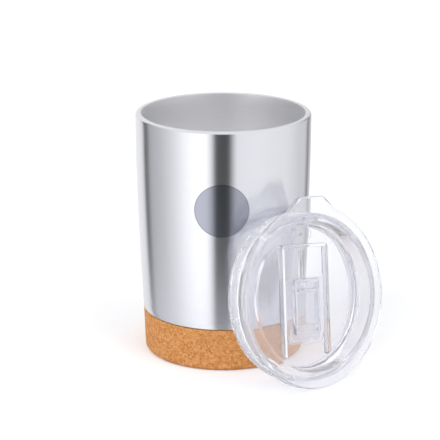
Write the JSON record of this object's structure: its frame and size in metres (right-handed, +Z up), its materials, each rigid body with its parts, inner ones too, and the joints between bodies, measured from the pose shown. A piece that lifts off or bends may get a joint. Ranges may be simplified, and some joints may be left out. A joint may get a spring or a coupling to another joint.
{
  "type": "travel tumbler",
  "caption": "Double-wall brushed steel tumbler with a cork base, its clear press-in lid with a sliding closure leaning against it.",
  "frame": {"origin": "on the tumbler's axis, in the plane it stands on", "axes": "+Z up the tumbler's axis; the lid leans on the -Y side"},
  "size_m": [0.086, 0.1194, 0.119],
  "materials": {
    "brushed_shell": "brushed stainless steel",
    "satin_liner": "satin stainless steel",
    "cap_steel": "plain drawn stainless steel",
    "cork": "sanded agglomerated cork",
    "clear_lid": "clear moulded copolyester",
    "clear_slider": "clear moulded copolyester",
    "silicone": "translucent silicone"
  },
  "bodies": {
    "tumbler": {"outer_shell": "brushed_shell", "inner_liner": "satin_liner", "bottom_cap": "cap_steel", "cork_sleeve": "cork", "cork_foot": "cork"},
    "lid": {"lid_body": "clear_lid", "lid_gasket": "silicone"},
    "slider": {"slider": "clear_slider", "slider_clip": "clear_slider", "slider_seal": "silicone"}
  },
  "joints": [
    {"name": "lid_lift_off", "type": "slide", "parent": "tumbler", "child": "lid", "axis": [0, -0.9746, 0.2239], "range_m": [0, 0.06]},
    {"name": "slider_slide", "type": "slide", "parent": "lid", "child": "slider", "axis": [0.1392, 0.2218, 0.9651], "range_m": [0, 0.014]}
  ]
}
